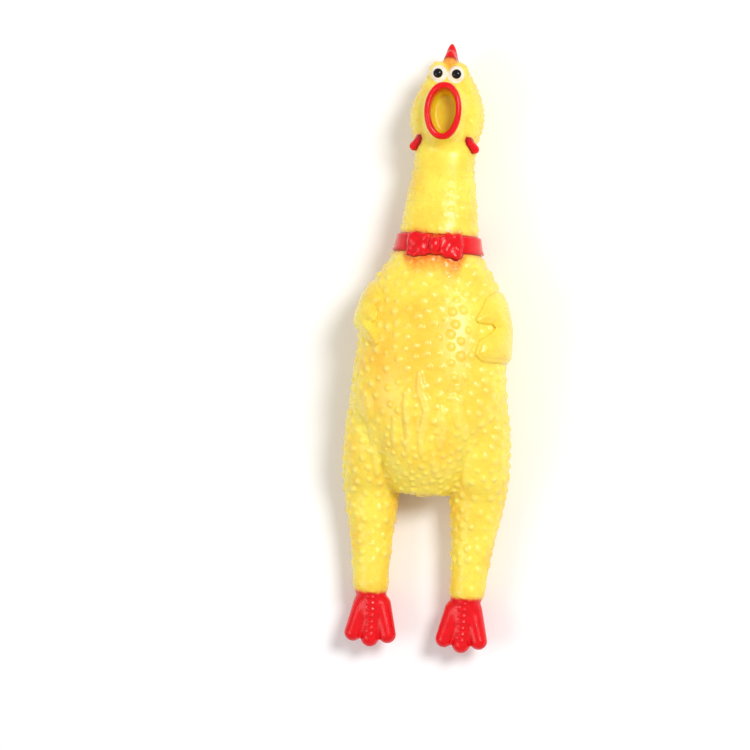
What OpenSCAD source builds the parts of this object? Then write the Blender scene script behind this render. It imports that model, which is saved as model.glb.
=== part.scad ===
// Squeaky rubber chicken: one hollow soft-vinyl skin, painted trim and a reed squeaker in the head.
// It lies on its back: +X to the observer's right, +Y towards the head, +Z out of the belly.
// The origin is on the surface it lies on, under the middle of its length.

/* [Skin] */
// Thickness of the moulded vinyl skin
wall = 1.8; // [1.4:0.1:2.2]
// Squareness of the trunk's sections, 2 is an ellipse
section_power = 2.2; // [2:0.1:2.6]
// Clear gap between neighbouring zones of the skin
zone_gap = 0.05; // [0.02:0.01:0.1]
// How far painted trim stands off the skin under it
trim_gap = 0.12; // [0.1:0.01:0.2]

/* [Neck and collar] */
// Lowest edge of the collar band along the length
collar_y = 26.6; // [26:0.1:27]
// Height of the collar band
collar_h = 4.8; // [4.4:0.1:5]
// How far the collar band stands out from the neck
collar_t = 1.2; // [0.8:0.1:1.4]
// Half of the angle that the bow tie covers around the neck
bow_half_angle = 44; // [40:1:46]
// Height of the bow tie along the length
bow_h = 7; // [6:0.1:7.4]
// Thickness of the bow tie
bow_t = 1.7; // [1.2:0.1:2]

/* [Head] */
// Middle of the open beak along the length
beak_y = 66.2; // [65.6:0.1:66.6]
// Half of the beak rim's outer width
beak_half_w = 5.2; // [5:0.1:5.6]
// Half of the beak rim's outer height
beak_half_h = 8; // [7.6:0.1:8.4]
// Diameter of the beak rim's rolled edge
rim_d = 1.8; // [1.4:0.1:2]
// Highest point of the beak rim
beak_top = 26.6; // [26:0.1:28]
// Floor of the mouth
mouth_floor = 16.6; // [16.2:0.1:17]
// Radius of one eyeball
eye_r = 2.55; // [2.4:0.05:2.6]
// Distance of an eye's centre from the middle
eye_x = 2.6; // [2.6:0.05:2.8]
// Radius of a pupil
pupil_r = 1.35; // [1.1:0.05:1.5]
// Tip of the comb along the length
comb_tip = 85; // [84:0.1:86]

/* [Legs] */
// Where a leg leaves the torso
leg_top = -41.6; // [-42:0.1:-41.6]
// Distance of a leg's centre from the middle at its top
leg_x = 15; // [14.6:0.1:15.2]
// How far a leg leans inwards on its way down, in degrees
leg_lean = 3; // [2:0.5:4]
// Height of a leg's centre line above the surface
leg_z = 8.4; // [8:0.1:9]
// Width of a foot across its three toes
foot_w = 14.6; // [14:0.1:15]
// Tip of the longest toe along the length
toe_tip = -85; // [-86:0.1:-84]

/* [Squeaker] */
// Outer diameter of the squeaker's barrel
barrel_d = 9; // [8.6:0.1:9]
// Wall of the barrel
barrel_wall = 0.9; // [0.8:0.1:1]
// Length of the barrel
barrel_len = 12; // [11.6:0.1:12.4]
// Thickness of the reed
reed_t = 0.25; // [0.2:0.05:0.3]

/* [Hidden] */

yellow = [0.98, 0.80, 0.18];
red = [0.80, 0.06, 0.07];
white = [0.95, 0.93, 0.88];
black = [0.03, 0.03, 0.03];
$fn = 48;

// Stations of the trunk, neck and head: [y, half width, lowest z, highest z]
trunk = [
    [-39.2, 22.9, 0.5, 19.0], [-36.0, 23.3, 0.0, 24.0], [-32.0, 23.4, -0.3, 27.3], [-24.0, 23.3, -0.7, 29.8],
    [-14.0, 22.0, -0.7, 31.4], [-3.0, 20.9, -0.7, 31.6], [8.0, 20.2, -0.7, 30.2], [14.0, 18.9, -0.1, 28.8],
    [19.0, 16.8, 0.9, 27.4], [22.0, 15.0, 1.7, 26.4], [25.0, 12.9, 2.6, 25.4], [28.0, 11.3, 3.3, 24.9],
    [32.0, 10.8, 3.6, 24.4], [36.0, 10.4, 3.9, 23.8], [45.0, 9.2, 4.4, 22.2], [50.0, 8.4, 4.6, 20.8],
    [55.4, 7.5, 4.4, 19.6], [58.0, 8.3, 3.6, 20.2], [61.0, 9.5, 2.4, 21.4], [65.0, 9.95, 1.6, 22.2],
    [69.5, 9.2, 1.6, 22.0], [73.0, 7.9, 2.6, 21.2], [76.0, 6.3, 4.4, 19.9], [78.4, 4.0, 7.0, 17.4],
    [79.6, 1.4, 10.6, 13.8]
];

// Zones of the skin along the length: where each one ends
torso_end = 32.0;
neck_ends = [39.0, 42.2, 48.4, 51.4, 57.4];
leg_ends = [-48.4, -51.6, -57.8, -61.0, -67.4];
// Radius of a leg where each of its zones ends, from the torso to the foot
leg_r = [7.8, 6.9, 6.2, 5.6, 5.3, 4.8];

// Belly: the springy rim and the panel inside it, along the length and around the section
rim_y = [-33, 19];
rim_a = [22, 158];
panel_y = [-24, 11];
panel_a = [48, 132];

// Wings, along the length and around the section
wing_y = [-3.6, 18];
wing_a = [4, 40];
wing_t = 1.7;

angle_step = 10;
head_end = 79.6;
web_t = 2;

// Squeaker cartridge, lying along the head under the mouth
barrel_r = barrel_d / 2;
bore_r = barrel_r - barrel_wall;
barrel_y = 59.6;
barrel_z = 10.2;
sleeve_r = 5.1;
sleeve_len = 3;
reed_y = [60.9, 66.9];
reed_w = 4.4;
reed_lift = 0.3;
plug_y = [67, 70.4];
groove_w = 2.6;
groove_h = 1.6;
cap_t = 1;
cap_hole_r = 0.7;
sound_hole_r = 1.2;

// Mouth: half width and half height of the opening, and the height where the beak's tube begins
mouth_half_w = beak_half_w - rim_d;
mouth_half_h = beak_half_h - rim_d;
beak_root = 19.6;
lining_t = 1.2;
eye_y = 76.4;
eye_z = 18.3;
comb_w = 4.6;
comb_d = 4.4;
comb_r = 0.5;
comb_root = 78.6;
// Height above the surface and tip of each lobe of the comb, from the forehead back
comb_lobes = [[15.4, comb_tip - 2.8], [12.2, comb_tip], [9.0, comb_tip - 2.4]];

// Smooth value of column c of the trunk's table at y, by a cubic through four stations
function span(y, i = 0) = i >= len(trunk) - 2 || y < trunk[i + 1][0] ? i : span(y, i + 1);
function slope(i, c) =
    let (a = max(i - 1, 0), b = min(i + 1, len(trunk) - 1))
    (trunk[b][c] - trunk[a][c]) / (trunk[b][0] - trunk[a][0]);
function trunk_at(y, c) =
    let (i = span(y), d = trunk[i + 1][0] - trunk[i][0], t = (y - trunk[i][0]) / d)
    (1 + 2 * t) * pow(1 - t, 2) * trunk[i][c] + t * pow(1 - t, 2) * d * slope(i, c)
    + t * t * (3 - 2 * t) * trunk[i + 1][c] - t * t * (1 - t) * d * slope(i + 1, c);
function signed_pow(v, e) = sign(v) * pow(abs(v), e);

// Point of the trunk's surface at y and angle a (90 is the belly), moved out by off
function skin_point(y, a, off) =
    let (e = 2 / section_power,
         mid = (trunk_at(y, 2) + trunk_at(y, 3)) / 2,
         half_w = max(trunk_at(y, 1) + off, 0.2),
         half_h = max((trunk_at(y, 3) - trunk_at(y, 2)) / 2 + off, 0.2))
    [half_w * signed_pow(cos(a), e), y, max(mid + half_h * signed_pow(sin(a), e), min(-off, 3))];

function steps(from, to, size) =
    let (n = max(1, ceil((to - from) / size - 0.001)))
    [for (k = [0:n]) from + (to - from) * k / n];

function between(v, range) = v > range[0] && v < range[1];

// Solid patch of skin over the grid ys by angles, from inner to outer, less the cells in the window
module skin_grid(ys, angles, inner, outer, window = [[0, 0], [0, 0]]) {
    rows = len(ys);
    closed = angles[len(angles) - 1] - angles[0] >= 360;
    cols = closed ? len(angles) - 1 : len(angles);
    last = closed ? cols : cols - 1;
    points = concat(
        [for (y = ys, c = [0:cols - 1]) skin_point(y, angles[c], outer)],
        [for (y = ys, c = [0:cols - 1]) skin_point(y, angles[c], inner)]);
    function id(r, c, side) = side * rows * cols + r * cols + c % cols;
    function held(r, c) =
        r >= 0 && r < rows - 1 && (closed || (c >= 0 && c < last))
        && !(between((ys[r] + ys[r + 1]) / 2, window[0])
             && between((angles[(c + last) % last] + angles[(c + last) % last + 1]) / 2, window[1]));
    faces = [for (r = [0:rows - 2], c = [0:last - 1]) if (held(r, c)) each concat(
        [[id(r, c, 0), id(r, c + 1, 0), id(r + 1, c + 1, 0)], [id(r, c, 0), id(r + 1, c + 1, 0), id(r + 1, c, 0)]],
        [[id(r, c, 1), id(r + 1, c + 1, 1), id(r, c + 1, 1)], [id(r, c, 1), id(r + 1, c, 1), id(r + 1, c + 1, 1)]],
        held(r - 1, c) ? [] : wall_faces(id(r, c, 0), id(r, c, 1), id(r, c + 1, 1), id(r, c + 1, 0)),
        held(r + 1, c) ? [] : wall_faces(id(r + 1, c + 1, 0), id(r + 1, c + 1, 1), id(r + 1, c, 1), id(r + 1, c, 0)),
        held(r, c - 1) ? [] : wall_faces(id(r + 1, c, 0), id(r + 1, c, 1), id(r, c, 1), id(r, c, 0)),
        held(r, c + 1) ? [] : wall_faces(id(r, c + 1, 0), id(r, c + 1, 1), id(r + 1, c + 1, 1), id(r + 1, c + 1, 0)))];
    polyhedron(points, faces);
}

function wall_faces(a, b, c, d) = [[a, b, c], [a, c, d]];

// Full ring of skin between two stations
module skin_ring(from, to, size = 3) {
    skin_grid(steps(from + zone_gap, to - zone_gap, size), steps(0, 360, angle_step), -wall, 0);
}

module torso_skin() {
    ys = concat(steps(trunk[0][0], rim_y[0], 3), steps(rim_y[0] + 4, rim_y[1] - 3, 4), steps(rim_y[1], torso_end - zone_gap, 3));
    angles = concat(steps(rim_a[0], rim_a[1], angle_step), steps(rim_a[1] + 8, rim_a[0] + 360, angle_step));
    color(yellow) skin_grid(ys, angles, -wall, 0, [rim_y, rim_a]);
}

module belly_flex() {
    ys = concat(steps(rim_y[0] + zone_gap, panel_y[0] - zone_gap, 3), steps(panel_y[0] + 5, panel_y[1] - 4, 4),
                steps(panel_y[1] + zone_gap, rim_y[1] - zone_gap, 3));
    angles = concat(steps(rim_a[0] + 0.2, panel_a[0] - 0.2, 9), steps(panel_a[0] + 8, panel_a[1] - 8, 9),
                    steps(panel_a[1] + 0.2, rim_a[1] - 0.2, 9));
    color(yellow) skin_grid(ys, angles, -wall, 0,
        [[panel_y[0] - zone_gap, panel_y[1] + zone_gap], [panel_a[0] - 0.2, panel_a[1] + 0.2]]);
}

module belly_panel() {
    ys = steps(panel_y[0] + zone_gap, panel_y[1] - zone_gap, 4);
    color(yellow) skin_grid(ys, steps(panel_a[0] + 0.2, panel_a[1] - 0.2, 9), -wall, 0);
}

// Plate that closes the torso between and around the two legs, with a bore into each leg
module crotch_web() {
    color(yellow) translate([0, trunk[0][0], leg_z]) rotate([90, 0, 0]) linear_extrude(web_t - zone_gap)
        difference() {
            union() {
                square([2 * leg_x, 2 * leg_r[0]], center = true);
                for (side = [-1, 1]) translate([side * leg_x, 0]) circle(leg_r[0]);
            }
            for (side = [-1, 1]) translate([side * leg_x, 0]) circle(leg_r[0] - wall);
        }
}

// Folded wing moulded on the torso's side, with a notch between its two fingers
module wing() {
    ys = concat(steps(wing_y[0], 2, 3), steps(5, wing_y[1], 3));
    angles = concat(steps(wing_a[0], 28, 8), [wing_a[1]]);
    color(yellow) skin_grid(ys, angles, trim_gap, wing_t, [[2, 5], [28, wing_a[1]]]);
}

module right_wing() { wing(); }
module left_wing() { mirror([1, 0, 0]) wing(); }

module collar_band() {
    color(red) skin_grid(steps(collar_y, collar_y + collar_h, 2.4), steps(0, 360, angle_step), trim_gap, collar_t);
}

module bow_tie() {
    mid = collar_y + collar_h / 2 - 0.6;
    color(red) skin_grid(steps(mid - bow_h / 2, mid + bow_h / 2, 1.8),
        steps(90 - bow_half_angle, 90 + bow_half_angle, 8), collar_t + trim_gap, collar_t + bow_t);
}

module neck_base_flex() { color(yellow) skin_ring(torso_end, neck_ends[0]); }
module neck_lower() { color(yellow) skin_ring(neck_ends[0], neck_ends[1]); }
module neck_middle_flex() { color(yellow) skin_ring(neck_ends[1], neck_ends[2]); }
module neck_upper() { color(yellow) skin_ring(neck_ends[2], neck_ends[3]); }
module throat_flex() { color(yellow) skin_ring(neck_ends[3], neck_ends[4]); }

// Upright oval prism over the mouth
module oval(half_w, half_h, low, high) {
    translate([0, beak_y, low]) linear_extrude(high - low) scale([half_w, half_h]) circle(1);
}

// Thick-walled head, closed at the crown and open at the throat and at the beak
module head_skin() {
    ys = concat(steps(neck_ends[4] + zone_gap, 76, 2.4), steps(77, head_end, 1));
    color(yellow) difference() {
        union() {
            skin_grid(ys, steps(0, 360, angle_step), -wall, 0);
            crown();
        }
        oval(beak_half_w + 0.1, beak_half_h + 0.1, 15, 30);
    }
}

// Disc that closes the crown of the head
module crown() {
    mid = (trunk_at(head_end, 2) + trunk_at(head_end, 3)) / 2;
    translate([0, head_end - 0.6, mid]) rotate([-90, 0, 0]) cylinder(r = 1.2, h = 0.6);
}

// Comb: three pointed lobes in a row from the forehead to the back of the head
module comb() {
    color(red) for (lobe = comb_lobes)
        hull() {
            translate([0, comb_root, lobe[0]]) rotate([-90, 0, 0])
                scale([comb_w / 2, comb_d / 2, 1]) cylinder(r = 1, h = 0.4, $fn = 28);
            translate([0, lobe[1] - comb_r, lobe[0]]) sphere(comb_r, $fn = 16);
        }
}

module beak_rim() {
    color(red) difference() {
        oval(beak_half_w, beak_half_h, beak_root, beak_top);
        oval(mouth_half_w, mouth_half_h, beak_root - 1, beak_top + 1);
    }
}

// Blind cup behind the beak, with a sound hole in its upper end
module mouth_lining() {
    color(yellow) difference() {
        oval(mouth_half_w + lining_t, mouth_half_h + lining_t, mouth_floor - lining_t, beak_root - zone_gap);
        oval(mouth_half_w, mouth_half_h, mouth_floor, beak_root + 1);
        translate([0, beak_y, mouth_floor + sound_hole_r + 0.2]) rotate([-90, 0, 0])
            cylinder(r = sound_hole_r, h = beak_half_h + 2);
    }
}

// Flap of red skin that hangs from the corner of the jaw
module wattle() {
    color(red) hull() {
        translate([6.6, 60, 19.6]) sphere(1, $fn = 20);
        translate([9.9, 55.8, 15.2]) sphere(1.1, $fn = 20);
    }
}

module right_wattle() { wattle(); }
module left_wattle() { mirror([1, 0, 0]) wattle(); }

module eye() {
    color(white) translate([eye_x, eye_y, eye_z]) sphere(eye_r);
}

module pupil() {
    color(black) translate([eye_x, eye_y, eye_z]) difference() {
        cylinder(r = pupil_r, h = eye_r + 0.25);
        sphere(eye_r + 0.01);
    }
}

module right_eye() { eye(); }
module left_eye() { mirror([1, 0, 0]) eye(); }
module right_pupil() { pupil(); }
module left_pupil() { mirror([1, 0, 0]) pupil(); }

// Frame of the right leg: local +Z runs down the leg and local +Y points out of the belly
module leg_frame() {
    translate([leg_x, leg_top, leg_z]) rotate([90, 0, -leg_lean]) children();
}

// Zone k of the leg, a tapered tube of skin
module leg_zone(k) {
    tops = concat([leg_top], leg_ends);
    from = (leg_top - tops[k]) / cos(leg_lean) + zone_gap;
    to = (leg_top - tops[k + 1]) / cos(leg_lean) - zone_gap;
    color(yellow) leg_frame() translate([0, 0, from]) difference() {
        cylinder(r1 = leg_r[k], r2 = leg_r[k + 1], h = to - from);
        translate([0, 0, -0.01])
            cylinder(r1 = leg_r[k] - wall, r2 = leg_r[k + 1] - wall, h = to - from + 0.02);
    }
}

// Foot with a short instep and three blunt toes spread side by side
module foot() {
    top = (leg_top - leg_ends[4]) / cos(leg_lean) + zone_gap;
    tip = (leg_top - toe_tip) / cos(leg_lean);
    toe_r = 2.5;
    spread = foot_w / 2 - toe_r;
    color(red) leg_frame() for (toe = [-1, 0, 1])
        hull() {
            translate([0, 0, top]) cylinder(r = leg_r[5], h = 1, $fn = 28);
            translate([toe * spread, 1.2, tip - toe_r - abs(toe) * 1.4]) sphere(toe_r, $fn = 20);
        }
}

module right_hip_flex() { leg_zone(0); }
module right_thigh() { leg_zone(1); }
module right_knee_flex() { leg_zone(2); }
module right_shin() { leg_zone(3); }
module right_ankle_flex() { leg_zone(4); }
module right_foot() { foot(); }
module left_hip_flex() { mirror([1, 0, 0]) leg_zone(0); }
module left_thigh() { mirror([1, 0, 0]) leg_zone(1); }
module left_knee_flex() { mirror([1, 0, 0]) leg_zone(2); }
module left_shin() { mirror([1, 0, 0]) leg_zone(3); }
module left_ankle_flex() { mirror([1, 0, 0]) leg_zone(4); }
module left_foot() { mirror([1, 0, 0]) foot(); }

// Cylinder along the length of the body, from one station to the next, on the squeaker's axis
module along(r, from, to) {
    translate([0, from, barrel_z]) rotate([-90, 0, 0]) cylinder(r = r, h = to - from);
}

// Soft ring that grips the barrel in the throat
module squeaker_sleeve() {
    color(yellow) difference() {
        along(sleeve_r, barrel_y, barrel_y + sleeve_len);
        along(barrel_r + 0.01, barrel_y - 1, barrel_y + sleeve_len + 1);
    }
}

module squeaker_barrel() {
    color(white) difference() {
        along(barrel_r, barrel_y, barrel_y + barrel_len);
        along(bore_r, barrel_y - 1, barrel_y + barrel_len + 1);
    }
}

// Plug with a flat tongue under the reed, and a groove that leads the air out through the plug
module reed_block() {
    flat_z = barrel_z - reed_t / 2 - reed_lift;
    color(white) difference() {
        along(bore_r - 0.01, reed_y[0], plug_y[1]);
        translate([-barrel_r, reed_y[0] - 1, flat_z]) cube([barrel_d, plug_y[0] - reed_y[0] + 1, barrel_d]);
        translate([-groove_w / 2, reed_y[0] + 1, flat_z - groove_h])
            cube([groove_w, plug_y[1] - reed_y[0], groove_h + 0.01]);
    }
}

module squeaker_reed() {
    color([0.85, 0.86, 0.8]) translate([-reed_w / 2, reed_y[0], barrel_z - reed_t / 2])
        cube([reed_w, reed_y[1] - reed_y[0], reed_t]);
}

// Guard over the barrel's outlet, with a ring of air holes
module squeaker_cap() {
    from = barrel_y + barrel_len;
    color(white) difference() {
        along(barrel_r, from, from + cap_t);
        for (turn = [0:60:300]) translate([0, from - 1, barrel_z]) rotate([-90, 0, 0]) rotate([0, 0, turn])
            translate([bore_r - 1.3, 0, 0]) cylinder(r = cap_hole_r, h = cap_t + 2);
    }
}

torso_skin();
belly_flex();
belly_panel();
crotch_web();
left_wing();
right_wing();
collar_band();
bow_tie();
neck_base_flex();
neck_lower();
neck_middle_flex();
neck_upper();
throat_flex();
head_skin();
comb();
beak_rim();
mouth_lining();
left_wattle();
right_wattle();
left_eye();
right_eye();
left_pupil();
right_pupil();
left_hip_flex();
left_thigh();
left_knee_flex();
left_shin();
left_ankle_flex();
left_foot();
right_hip_flex();
right_thigh();
right_knee_flex();
right_shin();
right_ankle_flex();
right_foot();
squeaker_sleeve();
squeaker_barrel();
reed_block();
squeaker_reed();
squeaker_cap();
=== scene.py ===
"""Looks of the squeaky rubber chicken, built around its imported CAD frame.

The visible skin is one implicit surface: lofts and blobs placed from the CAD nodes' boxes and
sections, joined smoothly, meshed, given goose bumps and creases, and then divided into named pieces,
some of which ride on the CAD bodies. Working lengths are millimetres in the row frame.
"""
import itertools
import math

import bpy
import numpy as np
import openvdb
from mathutils import Matrix, Vector
from mathutils.kdtree import KDTree


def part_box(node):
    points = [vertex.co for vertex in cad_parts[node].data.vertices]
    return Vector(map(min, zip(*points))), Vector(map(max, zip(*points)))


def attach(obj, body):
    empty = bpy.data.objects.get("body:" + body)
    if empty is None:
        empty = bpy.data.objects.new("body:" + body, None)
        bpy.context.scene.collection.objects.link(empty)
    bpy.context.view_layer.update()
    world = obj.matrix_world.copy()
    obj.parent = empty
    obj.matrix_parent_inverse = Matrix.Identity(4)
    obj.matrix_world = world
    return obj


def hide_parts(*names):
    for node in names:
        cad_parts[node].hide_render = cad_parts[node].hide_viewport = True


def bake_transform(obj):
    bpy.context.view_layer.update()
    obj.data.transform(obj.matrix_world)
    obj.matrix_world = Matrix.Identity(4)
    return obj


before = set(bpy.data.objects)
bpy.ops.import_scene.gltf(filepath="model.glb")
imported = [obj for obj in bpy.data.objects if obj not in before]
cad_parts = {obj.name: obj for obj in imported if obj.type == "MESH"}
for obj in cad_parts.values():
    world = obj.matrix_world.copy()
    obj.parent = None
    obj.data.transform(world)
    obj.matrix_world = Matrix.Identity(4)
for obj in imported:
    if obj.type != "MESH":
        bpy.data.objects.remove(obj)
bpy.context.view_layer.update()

MM = 0.001
SEED = 17
GRID = 0.34  # spacing of the surface's mesh
WALL = 1.5  # thickness of the visible skin
SIDES = (("left", -1.0), ("right", 1.0))


# ---- places taken from the CAD frame

def box(node):
    """Lowest and highest corner of a CAD node, in millimetres."""
    low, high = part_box(node)
    return np.array(low) / MM, np.array(high) / MM


def middle(node):
    low, high = box(node)
    return (low + high) / 2


def points_of(node):
    """All points of a CAD node's mesh, in millimetres."""
    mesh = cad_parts[node].data
    flat = np.empty(len(mesh.vertices) * 3)
    mesh.vertices.foreach_get("co", flat)
    return flat.reshape(-1, 3) / MM


def smoothed(stations, values, dense, reach):
    """Values on the dense stations, with the kinks between the CAD's rings rounded off."""
    line = np.interp(dense, stations, values)
    step = dense[1] - dense[0]
    half = int(3 * reach / step)
    weights = np.exp(-0.5 * (np.arange(-half, half + 1) * step / reach) ** 2)
    padded = np.concatenate([np.full(half, line[0]), line, np.full(half, line[-1])])
    return np.convolve(padded, weights / weights.sum(), mode="valid")


RING_POINTS = 8  # a ring of the CAD skin has more points than this in its plane
PLANE_GAP = 0.02  # how far off its plane a ring's points may lie
RING_DEPTH = 12  # rings round the trunk are deeper than this
FRONT_Z = 13  # and their fronts lie above this
LEG_RING_GAP = 0.9  # the same as PLANE_GAP for the legs' slanting rings


def trunk_sections():
    """Half width, lowest and highest z of the torso, neck and head at each ring of the CAD skin."""
    widths, lows, tops = {}, {}, {}
    for node in ("torso_skin", "neck_base_flex", "neck_lower", "neck_middle_flex", "neck_upper",
                 "throat_flex", "head_skin", "belly_flex", "belly_panel"):
        points = points_of(node)
        rows, counts = np.unique(np.round(points[:, 1], 2), return_counts=True)
        for y in rows[counts > RING_POINTS]:
            ring = points[np.abs(points[:, 1] - y) < PLANE_GAP]
            if not node.startswith("belly") and np.ptp(ring[:, 2]) > RING_DEPTH:
                widths[y] = max(widths.get(y, 0), np.abs(ring[:, 0]).max())
                lows[y] = min(lows.get(y, 99), ring[:, 2].min())
            crest = ring[(np.abs(ring[:, 0]) < PLANE_GAP) & (ring[:, 2] > FRONT_Z)]
            if len(crest):
                tops[y] = max(tops.get(y, 0), crest[:, 2].max())
    return widths, lows, tops


def as_line(table, dense, reach=0.9):
    keys = sorted(table)
    return smoothed(keys, [table[k] for k in keys], dense, reach)


def leg_sections(side):
    """Centre and radius of a leg at both ends of each of its CAD zones, from the hip down."""
    rows = []
    for zone in ("hip_flex", "thigh", "knee_flex", "shin", "ankle_flex"):
        points = points_of(f"{side}_{zone}")
        for y in (points[:, 1].max(), points[:, 1].min()):
            ring = points[np.abs(points[:, 1] - y) < LEG_RING_GAP]
            low, high = ring.min(axis=0), ring.max(axis=0)
            rows.append((y, (low[0] + high[0]) / 2, (low[2] + high[2]) / 2, (high[2] - low[2]) / 2))
    return np.array(rows)[::-1]


collar_low, collar_high = box("collar_band")
bow_low, bow_high = box("bow_tie")
comb_low, comb_high = box("comb")
head_low, head_high = box("head_skin")
eye_low, eye_high = box("right_eye")
foot_low, foot_high = box("right_foot")
beak_high = box("beak_rim")[1]
beak_mid = middle("beak_rim")
EYE_R = (eye_high[0] - eye_low[0]) / 2
FOOT_HALF = (foot_high[0] - foot_low[0]) / 2
ANKLE_Y, TOE_Y = foot_high[1], foot_low[1]
VENT_Y = box("crotch_web")[0][1]  # lower end of the torso, between the legs


# ---- implicit shapes

class Loft:
    """Tube along Y with superellipse sections, given by lines over dense stations."""

    def __init__(self, ys, cx, cz, rx, rz, power=2.0):
        self.ys, self.cx, self.cz = ys, cx, cz
        self.rx, self.rz, self.power = rx, rz, power

    def __call__(self, x, y, z):
        u = x - np.interp(y, self.ys, self.cx)
        v = z - np.interp(y, self.ys, self.cz)
        rx = np.interp(y, self.ys, self.rx)
        rz = np.interp(y, self.ys, self.rz)
        q = ((np.abs(u) / rx) ** self.power + (np.abs(v) / rz) ** self.power) ** (1 / self.power)
        reach = np.sqrt(u * u + v * v)
        inside = np.maximum(self.ys[0] - y, y - self.ys[-1])
        return np.maximum(reach - reach / np.maximum(q, 1e-3), inside)

    def crest(self, x, y):
        """Height of the upper surface over a point."""
        rx, rz = np.interp(y, self.ys, self.rx), np.interp(y, self.ys, self.rz)
        share = np.clip(np.abs(x - np.interp(y, self.ys, self.cx)) / rx, 0, 0.98)
        return np.interp(y, self.ys, self.cz) + rz * (1 - share ** self.power) ** (1 / self.power)


def capsule(start, end, r_start, r_end):
    a, b = np.array(start, float), np.array(end, float)
    ab = b - a

    def distance(x, y, z):
        t = ((x - a[0]) * ab[0] + (y - a[1]) * ab[1] + (z - a[2]) * ab[2]) / (ab @ ab)
        t = np.clip(t, 0, 1)
        dx, dy, dz = x - a[0] - t * ab[0], y - a[1] - t * ab[1], z - a[2] - t * ab[2]
        return np.sqrt(dx * dx + dy * dy + dz * dz) - (r_start + (r_end - r_start) * t)
    return distance


def ellipsoid(centre, radii):
    c, r = np.array(centre, float), np.array(radii, float)

    def distance(x, y, z):
        u, v, w = (x - c[0]) / r[0], (y - c[1]) / r[1], (z - c[2]) / r[2]
        k = np.sqrt(u * u + v * v + w * w)
        g = np.sqrt((u / r[0]) ** 2 + (v / r[1]) ** 2 + (w / r[2]) ** 2)
        return k * (k - 1) / np.maximum(g, 1e-6)
    return distance


def union(a, b, k):
    h = np.clip(0.5 + 0.5 * (b - a) / k, 0, 1)
    return b + (a - b) * h - k * h * (1 - h)


def smooth_step(v, low, high):
    t = np.clip((v - low) / (high - low), 0, 1)
    return t * t * (3 - 2 * t)


BEAK_DROP = 0.5  # the beak sits this much closer to the chin than its CAD ring
BEAK_POWER = 2.15  # squareness of its outline, where 2 is an ellipse


def beak_oval(x, y, half_w, half_h, pinch=0.0, drop=0.0):
    """Distance from an upright oval round the beak's middle, drawn in to a point at its lower end."""
    v = (y - beak_mid[1] + BEAK_DROP + drop) / half_h
    narrow = 1 - pinch * smooth_step(-v, 0.0, 1.0)
    u = x / (half_w * narrow)
    rho = (np.abs(u) ** BEAK_POWER + np.abs(v) ** BEAK_POWER) ** (1 / BEAK_POWER)
    reach = np.sqrt(x * x + (y - beak_mid[1] + BEAK_DROP + drop) ** 2)
    return reach - reach / np.maximum(rho, 1e-3)


STATION = 0.25  # spacing of the stations along a loft
BACK_SAG = 0.7  # how much fuller the back is than the CAD's rings
# The lower belly narrows between the thighs and ends in a blunt bulge: (y, share of the CAD's width)
NARROWING = np.array([(-50.0, 0.41), (-41.0, 0.41), (-36.0, 0.46), (-30.0, 0.57), (-24.0, 0.74),
                      (-18.0, 0.92), (-12.0, 1.0), (-6.0, 1.0)])
END_REACH, END_POWER, END_RISE = 6.0, 4.5, 1.5
JAW_Y, JAW_SWELL, JAW_REACH = 55.0, 0.75, 3.6  # the jaw is a little fuller than the CAD's rings
CROWN_REACH = 2.8  # the crown of the head closes in a dome over this length


def make_trunk():
    """Torso, neck and head in one loft."""
    dense = np.arange(VENT_Y - 0.4, head_high[1] + 0.6, STATION)
    width_rows, low_rows, top_rows = trunk_sections()
    sag = BACK_SAG * smooth_step(dense, -34, -28) * smooth_step(-dense, -14, -6)
    low_z, top_z = as_line(low_rows, dense) - sag, as_line(top_rows, dense)
    half_width = as_line(width_rows, dense) * smoothed(NARROWING[:, 0], NARROWING[:, 1], dense, 1.8)
    half_width = half_width + JAW_SWELL * np.exp(-((dense - JAW_Y) / JAW_REACH) ** 2)
    end = np.clip((VENT_Y + END_REACH - dense) / END_REACH, 0, 1)
    blunt = (1 - end ** END_POWER).clip(0.001, 1) ** (1 / END_POWER)
    crown = np.clip((dense - head_high[1] + 2.2) / CROWN_REACH, 0, 1)
    dome = np.sqrt((1 - crown ** 2).clip(0.0004, 1))
    return Loft(dense, np.zeros_like(dense), (low_z + top_z) / 2 + end * END_RISE, half_width * blunt * dome,
                (top_z - low_z) / 2 * (0.35 + 0.65 * blunt) * dome, 2.2)


# Above the hip the thigh swells and runs up into the belly's side:
# (y, distance from the middle, rise over the hip, half width, half depth)
THIGH = [(-37.0, 15.0, 1.6, 8.3, 9.2), (-30.0, 15.1, 3.0, 8.35, 10.6), (-22.0, 14.8, 3.8, 8.35, 10.6),
         (-14.0, 13.8, 4.4, 8.0, 9.6), (-8.0, 12.4, 5.0, 7.0, 8.0), (-2.0, 10.0, 6.0, 3.0, 4.0)]


def make_leg(side, sign):
    """One leg in one loft, from inside the foot up into the belly's side."""
    rows = leg_sections(side)
    hip_z = rows[-1][2]
    above = [(y, sign * x, hip_z + rise, rx, rz) for y, x, rise, rx, rz in THIGH]
    table = np.vstack([np.column_stack([rows, rows[:, 3]]), above])
    table = table[np.argsort(table[:, 0])]
    ys = np.arange(ANKLE_Y - 5.0, -2, STATION)
    cx, cz, rx, rz = [smoothed(table[:, 0], table[:, c], ys, 1.4) for c in (1, 2, 3, 4)]
    inside_foot = 1 - 0.55 * smooth_step(ANKLE_Y - ys, 1.0, 5.0)
    return Loft(ys, cx, cz, rx * inside_foot, rz * inside_foot)


TRUNK = make_trunk()
LEGS = {side: make_leg(side, sign) for side, sign in SIDES}


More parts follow.
